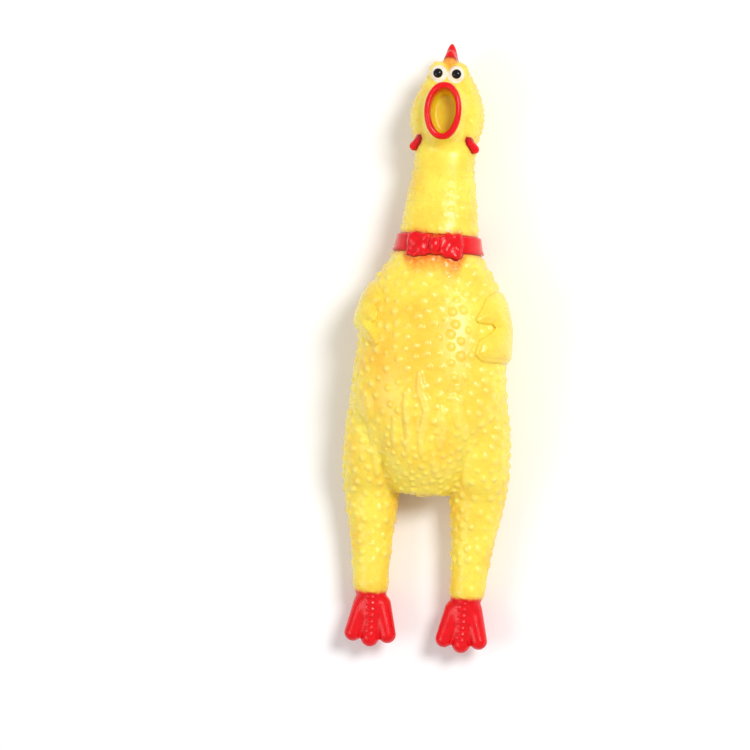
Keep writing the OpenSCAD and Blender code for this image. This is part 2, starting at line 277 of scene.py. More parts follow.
# Core of each folded wing's outline from above: (distance from the middle, y)
WING_OUTLINES = {
    "right": [(17.7, 15.4), (16.2, 14.0), (15.6, 11.4), (14.3, 8.7), (18.2, 8.5), (19.7, 6.6),
              (18.4, 4.4), (15.3, 2.0), (14.6, -0.8), (16.0, -2.0), (23.0, -2.2), (23.0, 6.0),
              (20.4, 14.0), (19.0, 15.6)],
    "left": [(18.2, 16.8), (16.6, 16.2), (15.3, 14.6), (14.7, 12.6), (17.2, 10.9), (15.4, 8.4), (15.8, 7.2),
             (17.8, 6.4), (15.8, 3.6), (14.4, 0.7), (17.6, 3.6), (19.6, 4.8), (23.0, 5.0), (23.0, 8.2),
             (20.6, 14.4)]}
WING_EDGE, WING_RISE, WING_ROUND = 1.55, 1.1, 1.15
WING_SLOPE = 3.0  # the wing reaches its full height this far in from its outline
WING_MIDDLE_Y, WING_FALL = 7.0, 0.04  # it falls off towards both ends from here
WING_FOOT_Z = 11.5  # where it ends on the flank


def to_stretch(px, py, a, b):
    """How far points are from the stretch a to b, and what share of it lies before the nearest place."""
    ex, ey = b[0] - a[0], b[1] - a[1]
    wx, wy = px - a[0], py - a[1]
    share = np.clip((wx * ex + wy * ey) / (ex * ex + ey * ey), 0, 1)
    return np.hypot(wx - share * ex, wy - share * ey), share


def outline_distance(px, py, outline):
    """Signed distance to a closed outline of (x, y) points."""
    total = np.full(np.broadcast(px, py).shape, 1e9)
    inside = np.zeros(total.shape, bool)
    for (ax, ay), (bx, by) in zip(outline, outline[1:] + outline[:1]):
        total = np.minimum(total, to_stretch(px, py, (ax, ay), (bx, by))[0])
        slant = (bx - ax) / ((by - ay) or 1e-9)
        inside ^= ((ay > py) != (by > py)) & (px < ax + (py - ay) * slant)
    return np.where(inside, -total, total)


def wing(side, sign):
    """Smooth pad that stands proud of the skin within its outline, and runs down the flank."""
    def distance(x, y, z):
        flat = outline_distance(sign * x, y, WING_OUTLINES[side])
        rise = WING_RISE * np.sqrt(np.clip(-flat / WING_SLOPE, 0, 1))
        crown = WING_EDGE + rise - WING_FALL * np.abs(y - WING_MIDDLE_Y)
        proud = TRUNK(x, y, z) - crown + WING_ROUND
        foot_z = WING_FOOT_Z - z
        edge = np.sqrt(np.maximum(flat, 0) ** 2 + np.maximum(proud, 0) ** 2 + np.maximum(foot_z, 0) ** 2)
        return edge + np.minimum(np.maximum(flat, np.maximum(proud, foot_z)), 0) - WING_ROUND
    return distance


COLLAR_PROUD, COLLAR_ROUND = 0.45, 0.55


def collar(x, y, z):
    """Band round the neck, with rounded edges."""
    band = np.abs(y - (collar_low[1] + collar_high[1]) / 2) - (collar_high[1] - collar_low[1]) / 2 + 0.5
    shell = TRUNK(x, y, z) - COLLAR_PROUD
    return np.sqrt(np.maximum(band, 0) ** 2 + np.maximum(shell, 0) ** 2) - COLLAR_ROUND


BOW_Y = (bow_low[1] + bow_high[1]) / 2
BOW_HALF, BOW_ROUND, BOW_THICK = 7.7, 0.8, 0.95


def bow(x, y, z):
    """Two crumpled lobes that wrap the front of the neck, and a knot between them."""
    top = TRUNK.crest(x * 0.9, y * 0 + BOW_Y)
    lobe_half = 2.55 + 0.75 * smooth_step(np.abs(x), 0.8, 4.5) + 0.18 * np.sin(2.1 * x + 0.6)
    v = np.abs(y - BOW_Y) - lobe_half + BOW_ROUND
    u = np.abs(x) - BOW_HALF + BOW_ROUND + 0.15 * np.sin(1.9 * y)
    creases = 0.20 * np.sin(0.9 * x + 1.1 * (y - BOW_Y)) + 0.16 * np.sin(1.6 * x - 0.8 * (y - BOW_Y) + 1.0)
    w = np.abs(z - top - 0.4) - BOW_THICK - creases
    body = np.sqrt(np.maximum(u, 0) ** 2 + np.maximum(v, 0) ** 2 + np.maximum(w, 0) ** 2) - BOW_ROUND
    knot = ellipsoid((0.2, BOW_Y, bow_high[2] - 1.2), (1.6, 2.3, 1.5))
    tail = capsule((5.2, BOW_Y - 1.6, bow_high[2] - 3.6), (5.9, BOW_Y - 4.0, bow_high[2] - 4.4), 1.5, 0.8)
    return union(union(body, knot(x, y, z), 0.5), tail(x, y, z), 0.5)


# Lobes of the comb, front to back: (share of the comb's depth, how far short its tip is)
COMB_LOBES = ((0.74, 1.5), (0.5, -0.5), (0.24, 1.5))
COMB_HALF, LOBE_DEPTH = 2.4, 2.4


def comb(x, y, z):
    """Row of three leaf-shaped lobes, widest where they leave the head."""
    total = None
    depth = comb_high[2] - comb_low[2]
    root = head_high[1] - 1.2
    for share_z, short in COMB_LOBES:
        tip = comb_high[1] - short
        lobe = ellipsoid((0.0, root, comb_low[2] + depth * share_z), (COMB_HALF, tip - root, LOBE_DEPTH))
        part = lobe(x * (1 + 0.05 * np.clip(y - root, 0, 7)), y, z)
        total = part if total is None else union(total, part, 1.0)
    return total


FLARE, FLARE_POWER = 2.2, 1.6  # how far the beak's foot spreads, and how late


def beak_tube(x, y, z):
    """Flank of the open beak, which flares out where it leaves the face."""
    below_rim = np.clip((beak_high[2] - 1.0 - z) / 6.0, 0, 1.2)
    waist = 0.4 - FLARE * below_rim ** FLARE_POWER * (1 - 0.7 * smooth_step(y - beak_mid[1], 0, 6))
    flank = beak_oval(x, y, beak_high[0] - waist, beak_high[1] - beak_mid[1] - waist)
    return np.maximum(flank, np.maximum(z - beak_high[2] + 0.9, head_low[2] + 14 - z))


RIM_R, RIM_BEND = 0.92, 0.035 * 0.35


def beak_rim(x, y, z):
    """Round bead along the beak's edge, which curves down a little at both ends."""
    line = beak_oval(x, y, beak_high[0] - RIM_R, beak_high[1] - beak_mid[1] - RIM_R)
    lift = beak_high[2] - RIM_R - RIM_BEND * (y - beak_mid[1]) ** 2
    return np.sqrt(line * line + (z - lift) ** 2) - RIM_R


MOUTH_FLOOR = box("mouth_lining")[0][2] + 4.4  # shallower than the CAD's cup, as it looks in the photo
MOUTH_HALF_W, MOUTH_HALF_H = 3.15, 5.4  # at its floor
MOUTH_ROUND, MOUTH_PINCH = 0.9, 0.16


def mouth(x, y, z):
    """Cup of the open mouth, wider at its rim than at its floor."""
    rise = smooth_step(z, MOUTH_FLOOR, beak_high[2])
    half_w, half_h = MOUTH_HALF_W + 0.45 * rise, MOUTH_HALF_H + 0.95 * rise
    wall = beak_oval(x, y, half_w, half_h, MOUTH_PINCH, 0.4 * (1 - rise)) + MOUTH_ROUND
    floor = MOUTH_FLOOR - z + MOUTH_ROUND
    edge = np.sqrt(np.maximum(wall, 0) ** 2 + np.maximum(floor, 0) ** 2)
    return edge + np.minimum(np.maximum(wall, floor), 0) - MOUTH_ROUND


def head_lumps():
    """Brows over the eyes, cheeks beside the beak and the jaw under it: (shape, softness)."""
    lumps = []
    eye = middle("right_eye")
    for _, sign in SIDES:
        lumps.append((ellipsoid((sign * 2.7, eye[1] + 0.7, eye[2] - 2.2), (2.9, 2.9, 3.2)), 1.0))
        lumps.append((ellipsoid((sign * 6.0, beak_mid[1] - 1.5, 14.5), (3.9, 6.6, 6.2)), 2.0))
    lumps.append((ellipsoid((0, beak_mid[1] - 8.2, 15.6), (5.2, 4.4, 4.4)), 1.5))
    return lumps


WATTLE_R = 1.15


def wattle(sign):
    """Flat band that wraps the corner of the jaw, from the chin round to the side of the neck."""
    low, high = box("right_wattle")
    inner_x, inner_y = low[0] + 0.1, high[1] - 1.7
    outer_x, outer_y = high[0] - 2.4, low[1] + 1.3
    inner = (sign * inner_x, inner_y, float(TRUNK.crest(inner_x, inner_y)) - 0.25)
    outer = (sign * outer_x, outer_y, low[2] + 1.6)
    return capsule(inner, outer, WATTLE_R * 0.95, WATTLE_R * 1.1)


TOE_R, TOE_SHORT = 2.45, 1.2  # the outer toes end this much before the middle one
ANKLE_R, INSTEP_R = 4.6, 3.7


def foot(sign):
    """Instep and three blunt toes, the middle one longest."""
    mid = middle("right_foot")
    cx, cz = sign * mid[0], mid[2]
    ankle = LEGS["right"]
    ankle_x = sign * float(np.interp(ANKLE_Y, ankle.ys, ankle.cx))
    ankle_z = float(np.interp(ANKLE_Y, ankle.ys, ankle.cz))
    ankle_at, instep_at = (ankle_x, ANKLE_Y + 0.5, ankle_z), (cx, ANKLE_Y - 8.0, cz - 0.4)
    instep = capsule(ankle_at, instep_at, ANKLE_R, INSTEP_R)
    toes = []
    for toe in (-1, 0, 1):
        root = (cx + toe * 2.3, ANKLE_Y - 6.0, cz - 0.2)
        tip = (cx + toe * (FOOT_HALF - TOE_R + 0.05), TOE_Y + TOE_R + abs(toe) * TOE_SHORT, cz + 0.5)
        toes.append(capsule(root, tip, 3.1, TOE_R + (0.1 if toe == 0 else 0)))

    def distance(x, y, z):
        total = instep(x, y, z)
        for part in toes:
            total = union(total, part(x, y, z), 0.9)
        return total
    return distance


EYES = {side: ellipsoid(middle(f"{side}_eye"), (EYE_R, EYE_R, EYE_R)) for side, _ in SIDES}
WINGS = {side: wing(side, sign) for side, sign in SIDES}
WATTLES = {side: wattle(sign) for side, sign in SIDES}
FEET = {side: foot(sign) for side, sign in SIDES}


def around(low, high, margin=3.0):
    return np.array(low, float) - margin, np.array(high, float) + margin


def features():
    """Everything added to or cut from the trunk, in order: (shape, softness, box, cuts)."""
    rows = []
    for side, sign in SIDES:
        leg = LEGS[side]
        x_low, x_high = sorted((sign * 1.0, sign * 24.5))
        rows.append((leg, 1.5, ((x_low, ANKLE_Y - 6, -2), (x_high, -2, 28)), False))
        rows.append((FEET[side], 1.2, ((x_low, TOE_Y - 2, -2), (x_high, ANKLE_Y + 6, 20)), False))
        x_low, x_high = sorted((sign * 10.0, sign * 25.0))
        rows.append((WINGS[side], 0.55, ((x_low, -6, 7), (x_high, 21, 32)), False))
    for lump, k in head_lumps():
        rows.append((lump, k, ((-13, 50, 5), (13, 84, 26)), False))
    rows.append((collar, 0.35, ((-14, collar_low[1] - 2, 0), (14, collar_high[1] + 2, 30)), False))
    rows.append((bow, 0.45, ((-10, bow_low[1] - 4, 14), (10, bow_high[1] + 3, 31)), False))
    rows.append((comb, 0.9, ((-5, head_high[1] - 5, 3), (5, comb_high[1] + 2, 22)), False))
    for side, _ in SIDES:
        rows.append((WATTLES[side], 0.6, around((-11, 53, 10), (11, 62, 23)), False))
        rows.append((EYES[side], 0.3, around((-6, 73, 14), (6, 80, 22)), False))
    rows.append((beak_tube, 1.6, around((-6, 57, 14), (6, 76, 27)), False))
    rows.append((beak_rim, 0.5, around((-6, 57, 18), (6, 76, 28)), False))
    rows.append((mouth, 0.35, around((-5, 57, 15), (5, 75, 30)), True))
    return rows


FEATURES = features()


def field(x, y, z):
    """Signed distance, nearly, of the whole skin at loose points."""
    total = TRUNK(x, y, z)
    for shape, k, (low, high), cuts in FEATURES:
        near = ((x > low[0]) & (x < high[0]) & (y > low[1]) & (y < high[1]) & (z > low[2]) & (z < high[2]))
        part = shape(x[near], y[near], z[near])
        total[near] = -union(-total[near], part, k) if cuts else union(total[near], part, k)
    return np.maximum(total, -z)


def field_on_grid(xs, ys, zs):
    """The same on a grid, with each feature worked out only inside its box."""
    total = TRUNK(xs[:, None, None], ys[None, :, None], zs[None, None, :])
    for shape, k, (low, high), cuts in FEATURES:
        near = tuple(slice(*np.searchsorted(axis, ends)) for axis, ends in zip((xs, ys, zs), zip(low, high)))
        part = shape(xs[near[0]][:, None, None], ys[near[1]][None, :, None], zs[near[2]][None, None, :])
        total[near] = -union(-total[near], part, k) if cuts else union(total[near], part, k)
    return np.maximum(total, -zs[None, None, :])


def gradient(points, step=0.05):
    """Direction and steepness of the field at points."""
    columns = []
    for axis in range(3):
        shift = np.zeros(3)
        shift[axis] = step
        high, low = points + shift, points - shift
        columns.append((field(*high.T) - field(*low.T)) / (2 * step))
    return np.column_stack(columns)


def skin_mesh():
    """Points and triangles of the smooth skin, pulled onto the exact surface."""
    corners = [box(node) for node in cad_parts]
    low = np.min([c[0] for c in corners], axis=0) - 2.0
    high = np.max([c[1] for c in corners], axis=0) + 2.0
    xs, ys, zs = (np.arange(low[i], high[i], GRID) for i in range(3))
    values = field_on_grid(xs, ys, zs)
    grid = openvdb.FloatGrid(background=3.0)
    grid.copyFromArray(np.clip(values, -3, 3).astype(np.float32))
    points, quads = grid.convertToQuads(isovalue=0.0)
    points = points * GRID + low
    for _ in range(3):
        slope = gradient(points)
        steep = np.maximum((slope ** 2).sum(axis=1), 0.05)
        move = slope * (field(*points.T) / steep)[:, None]
        size = np.linalg.norm(move, axis=1)
        points = points - move * np.minimum(1, 0.3 / np.maximum(size, 1e-9))[:, None]
    points[:, 2] = np.maximum(points[:, 2], 0)
    quads = quads.astype(np.int64)
    triangles = np.vstack([quads[:, [0, 1, 2]], quads[:, [0, 2, 3]]])
    return points, triangles


def point_normals(points, triangles):
    a, b, c = (points[triangles[:, i]] for i in range(3))
    face = np.cross(b - a, c - a)
    total = np.zeros_like(points)
    for i in range(3):
        np.add.at(total, triangles[:, i], face)
    return total / np.maximum(np.linalg.norm(total, axis=1), 1e-12)[:, None]


# ---- goose bumps, ridges and scutes

CELL = 4.0  # size of the cells in which neighbours are looked up
STEPS = list(itertools.product((-1, 0, 1), repeat=3))


def scatter(points, room, seed):
    """Indices of points chosen in a seeded random order, each at least its own room from the others."""
    taken, chosen = {}, []
    for i in np.random.default_rng(seed).permutation(len(points)):
        if room[i] <= 0:
            continue
        px, py, pz = points[i].tolist()
        cx, cy, cz = int(px // CELL), int(py // CELL), int(pz // CELL)
        near = (q for dx, dy, dz in STEPS for q in taken.get((cx + dx, cy + dy, cz + dz), ()))
        if all((px - x) ** 2 + (py - y) ** 2 + (pz - z) ** 2 >= room[i] ** 2 for x, y, z in near):
            taken.setdefault((cx, cy, cz), []).append((px, py, pz))
            chosen.append(i)
    return np.array(chosen, int)


def nearest(shapes, points):
    """Distance to the nearest of some shapes."""
    return np.min([shape(*points.T) for shape in shapes], axis=0)


def trim_distance(points):
    """Distance to the nearest painted or smooth feature, which carries no goose bumps."""
    shapes = [collar, bow, comb, beak_rim, mouth, beak_tube]
    for side, _ in SIDES:
        shapes += [WINGS[side], WATTLES[side], EYES[side]]
    return nearest(shapes, points)


# Goose bumps of each region: least distance apart, radius and height
BUMPS = {"body": (2.95, 1.30, 0.52), "low_belly": (2.35, 1.10, 0.46), "head": (1.95, 0.85, 0.28),
         "neck": (2.35, 1.00, 0.34), "leg": (2.65, 1.30, 0.40), "flank": (2.75, 1.35, 0.52)}
BARE_MARGIN = 0.9  # none starts closer than this to paint or a smooth feature


# Where those regions meet, lengthwise and out from the middle
JAW_LINE_Y, NECK_Y, LOW_BELLY_Y = 56, 32, -16
LOW_BELLY_HALF, FLANK_X = 10, 16


def bump_plan(points):
    """Room, radius and height of the goose bump that each point of the skin may carry."""
    x, y, z = points.T
    head, neck, leg = y > JAW_LINE_Y, (y > NECK_Y) & (y <= JAW_LINE_Y), y < VENT_Y
    regions = {"low_belly": (y < LOW_BELLY_Y) & ~leg & (np.abs(x) < LOW_BELLY_HALF),
               "head": head, "neck": neck, "leg": leg,
               "flank": (np.abs(x) > FLANK_X) & ~head & ~neck & ~leg}
    plan = np.tile(BUMPS["body"], (len(points), 1))
    for region, rows in regions.items():
        plan[rows] = BUMPS[region]
    room, radius, height = plan.T
    front_neck, ankle = neck & (z > 17) & (np.abs(x) < 7), y < ANKLE_Y + 5
    height[front_neck] *= 0.45
    height[ankle] *= 0.4
    face = head & (z > 17) & (np.abs(x) < 6.4)
    throat = (y > 47) & (y < 60) & (z > 13) & (np.abs(x) < 6.5)
    room[face | throat | (y < ANKLE_Y)] = 0
    room[trim_distance(points) < BARE_MARGIN] = 0
    height[fold_height(points) > 0.2] *= 0.55
    return room, radius, height


# Long folds of the lower belly: (points (x, y) from the chest down, half width, height)
FOLDS = [
    ([(-1.2, -7.5), (-0.6, -12.0), (1.6, -17.5), (0.4, -24.5), (0.4, -30.0)], 1.9, 0.85),
    ([(-4.2, -12.0), (-4.4, -17.0), (-3.0, -24.5), (-3.4, -29.8)], 1.8, 0.80),
    ([(-7.4, -20.5), (-7.2, -28.0)], 1.5, 0.60),
    ([(5.4, -16.5), (6.2, -22.0), (5.2, -27.5)], 1.8, 0.70),
    ([(9.0, -13.0), (10.2, -19.0), (12.0, -24.5)], 2.0, 0.70),
    ([(-16.0, -14.0), (-15.4, -21.5)], 2.1, 0.70),
    ([(-14.8, -22.5), (-13.0, -29.0), (-12.6, -36.5)], 1.9, 0.80),
    ([(14.0, -25.0), (12.2, -32.0), (12.0, -38.0)], 1.8, 0.65),
    ([(3.6, -30.0), (4.4, -36.0)], 1.4, 0.55)]


def fold_height(points):
    """Height of the belly's long folds at each point, on the front of the torso only."""
    x, y, z = points.T
    total = np.zeros(len(points))
    front = smooth_step(z, 15, 19)
    for line, half, height in FOLDS:
        near = np.full(len(points), 99.0)
        along = np.zeros(len(points))
        for k, (a, b) in enumerate(zip(line[:-1], line[1:])):
            gap, share = to_stretch(x, y, a, b)
            closer = gap < near
            near[closer] = gap[closer]
            along[closer] = (k + share[closer]) / (len(line) - 1)
        taper = np.sqrt(np.clip(4 * along * (1 - along), 0, 1)) * 0.55 + 0.45
        bell = np.clip(1 - (near / (half * taper)) ** 2, 0, 1) ** 1.6
        total = np.maximum(total, bell * height * taper)
    return total * front


SCUTE_PITCH, SCUTE_HEIGHT = 1.75, 0.34


def scute_height(points):
    """Cross ridges down the middle toe."""
    x, y, z = points.T
    mid = middle("right_foot")
    u = np.abs(x) - mid[0]
    front = smooth_step(z, mid[2] - 0.5, mid[2] + 1.5)
    band = smooth_step(ANKLE_Y - 1.2 - y, 0, 1) * smooth_step(y - TOE_Y - 1.5, 0, 1.5)
    width = 1.3 - 0.25 * smooth_step(ANKLE_Y - y, 6, 10)
    ridge = np.clip(np.cos((y - TOE_Y) * 2 * math.pi / SCUTE_PITCH), 0, 1) ** 1.5
    return SCUTE_HEIGHT * ridge * np.clip(1 - (u / width) ** 4, 0, 1) * front * band


def tree_of(points):
    """Look-up of the nearest points."""
    tree = KDTree(len(points))
    for i, point in enumerate(points):
        tree.insert(point, i)
    tree.balance()
    return tree


def add_bumps(points, normals):
    """Height that the goose bumps add at each point."""
    room, radius, height = bump_plan(points)
    centres = scatter(points, room, SEED)
    rng = np.random.default_rng(SEED + 1)
    tree = tree_of(points)
    lift = np.zeros(len(points))
    for i in centres:
        r = radius[i] * rng.uniform(0.75, 1.15)
        h = height[i] * rng.uniform(0.55, 1.15)
        centre, normal = points[i], normals[i]
        for _, k, d in tree.find_range(centre, r):
            if normal @ normals[k] > 0.3:
                lift[k] = max(lift[k], h * max(0.0, 1 - (d / r) ** 2) ** 1.6)
    return lift


# ---- dividing the skin

class Skin:
    """Triangles with named columns of values at their points; all columns follow when a triangle is cut."""

    def __init__(self, points, triangles, **columns):
        self.points, self.triangles, self.columns = points, triangles, columns

    def cut(self, name, values, snap=0.02):
        """Keeps values as a column, and splits triangles so that none straddles its zero line."""
        values = np.where(np.abs(values) < snap, 0.0, values)
        self.columns[name] = values
        sign = np.sign(values)
        s = sign[self.triangles]
        crossing = (s.max(axis=1) > 0) & (s.min(axis=1) < 0)
        if not crossing.any():
            return
        kept, work = self.triangles[~crossing], self.triangles[crossing]
        edges = np.sort(np.vstack([work[:, [0, 1]], work[:, [1, 2]], work[:, [2, 0]]]), axis=1)
        edges = np.unique(edges[sign[edges[:, 0]] * sign[edges[:, 1]] < 0], axis=0)
        a, b = edges.T
        t = values[a] / (values[a] - values[b])
        start = len(self.points)
        added = self.points[a] + (self.points[b] - self.points[a]) * t[:, None]
        self.points = np.vstack([self.points, added])
        for key, column in self.columns.items():
            step = t if column.ndim == 1 else t[:, None]
            self.columns[key] = np.concatenate([column, column[a] + (column[b] - column[a]) * step])
        self.columns[name][start:] = 0.0
        new_point = {(int(p), int(q)): start + k for k, (p, q) in enumerate(edges)}
        made = []
        for row in work.tolist():
            ring = []
            for p, q in zip(row, row[1:] + row[:1]):
                ring.append(p)
                if sign[p] * sign[q] < 0:
                    ring.append(new_point[(min(p, q), max(p, q))])
            for wanted in (1, -1):
                part = [v for v in ring if v >= start or sign[v] == 0 or sign[v] == wanted]
                made += [(part[0], part[k], part[k + 1]) for k in range(1, len(part) - 1)]
        self.triangles = np.vstack([kept, np.array(made, int)])

    def within(self, name):
        """True for each triangle on the negative side of a column."""
        return self.columns[name][self.triangles].mean(axis=1) < 0


points, triangles = skin_mesh()
smooth_normals = point_normals(points, triangles)
bumps = add_bumps(points, smooth_normals)
folds = fold_height(points)
# Height of the bumps and folds, from which the material also paints a highlight on their tops
lift = bumps + 0.35 * folds
raised = points + smooth_normals * (bumps + folds + scute_height(points))[:, None]
raised[:, 2] = np.maximum(raised[:, 2], 0)
skin = Skin(raised, triangles, base=points, normal=point_normals(raised, triangles), lift=lift)

# The squeeze is full where the belly is highest, and dies out towards the back, the neck and the legs
SQUEEZE_Z = (14.0, 28.0)
CHEST_Y = (24.0, 12.0)
HIP_Y = (-40.0, -24.0)


SHARE_SNAP = 0.002


def squeeze_shares():
    """Share of the squeeze at each point, by its height and by its distances from the neck and the hips."""
    y, z = skin.points[:, 1], skin.points[:, 2]
    return [(v - start) / (end - start) for v, (start, end) in ((z, SQUEEZE_Z), (y, CHEST_Y), (y, HIP_Y))]


HEAD_Y, LEG_TOP_Y, FOOT_Y = 57.9, -41.6, -68.0
BELLY_END_HALF, BELLY_END_Y = 6.0, -44.0
# Zones across a joint, from the torso outwards:
# (name, where it begins and ends, body at each end, where the bend begins and ends, CAD nodes)
NECK_ZONES = [
    ("neck_base_skin", 32.0, 40.6, "torso", "neck_lower", (32.0, 39.0),
     ("neck_base_flex", "neck_lower")),
    ("neck_middle_skin", 40.6, 49.9, "neck_lower", "neck_upper", (42.2, 48.4),
     ("neck_middle_flex", "neck_upper")),
    ("throat_skin", 49.9, HEAD_Y, "neck_upper", "head", (51.4, 57.4), ("throat_flex",))]
LEG_ZONES = [
    ("hip_skin", LEG_TOP_Y, -50.0, "torso", "thigh", (LEG_TOP_Y, -48.4), ("hip_flex", "thigh")),
    ("knee_skin", -50.0, -59.4, "thigh", "shin", (-51.6, -57.8), ("knee_flex", "shin")),
    ("ankle_skin", -59.4, FOOT_Y, "shin", "foot", (-61.0, -67.4), ("ankle_flex",))]


def cut_zones():
    """Cuts the skin across the neck and legs where its pieces meet."""
    for y in [low for _, low, *_ in NECK_ZONES] + [HEAD_Y]:
        skin.cut(f"below_{y}", skin.points[:, 1] - y)
    for y in [low for _, _, low, *_ in LEG_ZONES]:
        skin.cut(f"leg_{y}", skin.points[:, 1] - y)
    # The belly's end may reach a little below the hips' upper line, between the legs
    x, y = np.abs(skin.points[:, 0]), skin.points[:, 1]
    between_legs = np.minimum(BELLY_END_HALF - x, y - BELLY_END_Y)
    skin.cut(f"leg_{LEG_TOP_Y}", np.maximum(y - LEG_TOP_Y, between_legs))
    skin.cut("still", np.min(squeeze_shares(), axis=0), SHARE_SNAP)
    for name, row in (("chest", 1), ("lower_belly", 2)):
        shares = squeeze_shares()
        skin.cut(name, np.maximum(shares[row] - shares[0], -skin.columns["still"]), SHARE_SNAP)


WHITE_HALF_W, WHITE_HALF_H = 2.35, 2.45
WHITE_SHIFT = (0.25, 0.15)  # it sits this much further in and down than the eye's ball


def eye_white(x, y, z):
    """Merged white patches round the pupils, down to the beak's rim."""
    eye = middle("right_eye")
    u = (np.abs(x) - eye[0] + WHITE_SHIFT[0]) / WHITE_HALF_W
    v = (y - eye[1] + WHITE_SHIFT[1]) / WHITE_HALF_H
    return np.maximum((np.sqrt(u * u + v * v) - 1) * 2.3, eye[2] - 2.0 - z)


# Trims, and how far from its own shape each one's piece reaches
TRIMS = [("comb", comb, 0.14), ("bow_tie", bow, 0.12), ("collar", collar, 0.10),
         ("beak_rim", beak_rim, 0.14), ("mouth", mouth, 0.22), ("eyes", eye_white, 0.0)]
for side, _ in SIDES:
    TRIMS += [(f"{side}_wattle", WATTLES[side], 0.12), (f"{side}_wing", WINGS[side], 0.15)]
RUMP_Y = -8.0  # where the still part of the torso is divided in two


def cut_trims():
    """Cuts the skin round the comb, collar, bow tie, beak, mouth, wattles, eyes and wings."""
    for name, shape, reach in TRIMS:
        skin.cut(name, shape(*skin.columns["base"].T) - reach)
    skin.cut("left_half", skin.points[:, 0])
    skin.cut("rump", skin.points[:, 1] - RUMP_Y)


cut_zones()
cut_trims()


def label_pieces():
    """Name of the piece that each triangle belongs to."""
    inside = {name: skin.within(name) for name, column in skin.columns.items() if column.ndim == 1}
    left = inside["left_half"]
    label = np.full(len(skin.triangles), "torso_skin_back", dtype="U24")
    label[inside["rump"]] = "rump_skin"
    label[~inside["still"]] = "belly_skin"
    label[inside["chest"]] = "chest_skin"
    label[inside["lower_belly"]] = "lower_belly_skin"
    for side, _ in SIDES:
        this = left if side == "left" else ~left
        on_wing = inside[f"{side}_wing"] & this & ~inside["chest"] & ~inside["lower_belly"]
        label[on_wing] = f"{side}_wing_skin"
        for name, start, *_ in LEG_ZONES:
            label[inside[f"leg_{start}"] & this] = f"{side}_{name}"
        label[inside[f"leg_{FOOT_Y}"] & this] = f"{side}_foot_skin"
    for name, start, *_ in NECK_ZONES:
        label[~inside[f"below_{start}"]] = name
    head = ~inside[f"below_{HEAD_Y}"]
    label[head] = "head_skin_face"
    label[inside["comb"] & head] = "comb_skin"
    label[inside["mouth"] & head] = "mouth_skin"
    label[inside["beak_rim"] & head] = "beak_rim_skin"
    for side, _ in SIDES:
        this = left if side == "left" else ~left
        label[inside[f"{side}_wattle"] & this & head] = f"{side}_wattle_skin"
        on_eye = inside["eyes"] & this & head & ~inside["beak_rim"] & ~inside["mouth"]
        label[on_eye] = f"{side}_eye_white"
    below = inside[f"below_{NECK_ZONES[0][1]}"]
    label[inside["collar"] & below] = "collar_skin"
    label[inside["bow_tie"] & below] = "bow_tie_skin"
    return label


# ---- paint and painted shade, as values on the skin's points

def ripple(points, size):
    """Smooth irregular waves from -1 to 1, for edges of sprayed paint."""
    x, y, z = (points / size).T
    waves = np.sin(3.1 * x + 1.7 * y) + np.sin(2.3 * y - 2.9 * z + 1.0) + np.sin(4.7 * x - 3.7 * z + 2.0)
    return waves / 3


RED_BELOW_ANKLE = 2.4
PAINT_REACH = 0.16  # red paint ends this far from a trim's own shape
# Stray orange round each trim: (strength, how far it reaches)
STRAY_RIM, STRAY_COMB, STRAY_WATTLE = (0.75, 0.45), (0.7, 0.8), (0.6, 0.5)


def paint_columns():
    """How red each point is painted, and how much stray orange paint it carries."""
    base = skin.columns["base"]
    x, y, z = base.T
    wave = ripple(base, 1.6)
    near_bow = np.minimum(bow(x, y, z), collar(x, y, z) + 0.5)
    under_bow = 1.0 + 3.0 * smooth_step(BOW_Y - 1.5 - y, 0, 2) * smooth_step(9.5 - np.abs(x), 0, 4)
    stray = 1.0 * np.exp(-(np.maximum(near_bow - 0.1, 0) / under_bow) ** 2)
    wattles = [(WATTLES[side], STRAY_WATTLE) for side, _ in SIDES]
    for shape, (strength, reach) in [(beak_rim, STRAY_RIM), (comb, STRAY_COMB)] + wattles:
        gap = np.maximum(shape(x, y, z), 0)
        stray = np.maximum(stray, strength * np.exp(-(gap / reach) ** 2))
    foot_edge = ANKLE_Y - RED_BELOW_ANKLE + 0.25 * wave - y
    stray = np.maximum(stray, 0.8 * smooth_step(foot_edge, -1.3, 0.3))
    red = smooth_step(foot_edge, -0.45, 0.45)
    trims = nearest([bow, collar, beak_rim, comb, *WATTLES.values()], base)
    red = np.maximum(red, (trims < PAINT_REACH).astype(float))
    # The comb's foot is thinly painted, and the mouth fades from red at the rim to yellow inside
    on_comb = comb(x, y, z) < 0.2
    red = np.where(on_comb, red * smooth_step(y + 0.4 * wave, head_high[1] + 0.2, head_high[1] + 2.0), red)
    inner = (mouth(x, y, z) < 0.3) & (beak_rim(x, y, z) > PAINT_REACH)
    upper = smooth_step(y, beak_mid[1] - 2, beak_mid[1] + 6)
    red_depth = beak_high[2] - 2.8 - 2.5 * upper
    red = np.where(inner, 0.85 * smooth_step(z, red_depth, beak_high[2] - 0.8), red)
    inner_stray = (0.35 + 0.65 * upper) * smooth_step(z, MOUTH_FLOOR + 1.5, beak_high[2] - 2)
    stray = np.where(inner, inner_stray, stray)
    return red, stray


def deep_tone_and_low_shade():
    """Share of the deeper yellow: more on the belly's crown, and painted shade low on the sides, where the
    skin turns away from the light.
    """
    _, y, z = skin.columns["base"].T
    crown = smooth_step(z, 22, 30) * np.exp(-((y + 2.0) / 20.0) ** 2)
    # The last term is painted shade: the lower the skin lies on the sides, the more amber it gets
    return np.clip(0.12 + 0.42 * crown + 0.40 * smooth_step(-z, -15.0, -4.0), 0, 1)


EDGE_SHADE_START, EDGE_SHADE_WIDTH = 0.3, 0.5  # painted shade: a darker line of red along the edge of each trim
TRIMS_FROM_Y = 10.0  # all trims but the feet lie above this


